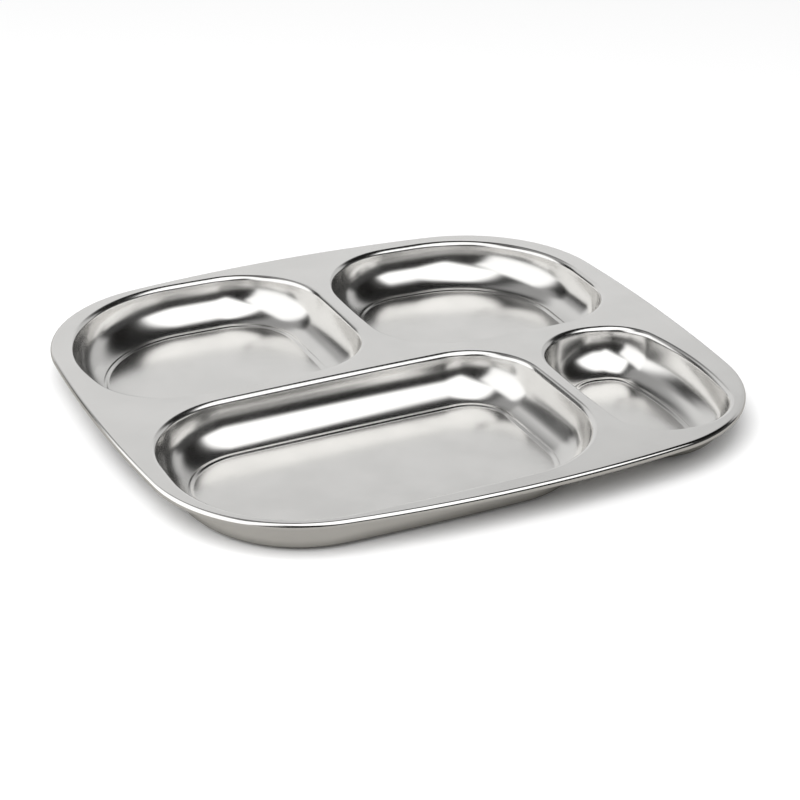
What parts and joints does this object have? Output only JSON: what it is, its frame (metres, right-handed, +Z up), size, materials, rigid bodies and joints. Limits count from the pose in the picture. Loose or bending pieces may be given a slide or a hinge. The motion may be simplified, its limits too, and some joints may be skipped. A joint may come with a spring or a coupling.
{
  "type": "divided compartment plate",
  "caption": "Rounded square pressed steel plate with a large well, two side wells and a small well, a flat top between them and a rolled rim.",
  "frame": {"origin": "on the table under the middle of the plate's outline", "axes": "+X along the long edge towards the side with the small well, +Y to the edge with the two side wells, +Z up out of the wells"},
  "size_m": [0.275, 0.26, 0.0205],
  "materials": {
    "stainless_sheet": "satin"
  },
  "bodies": {
    "root": {"flat_top": "stainless_sheet", "rolled_rim": "stainless_sheet", "large_well": "stainless_sheet", "left_well": "stainless_sheet", "right_well": "stainless_sheet", "small_well": "stainless_sheet"}
  },
  "joints": []
}
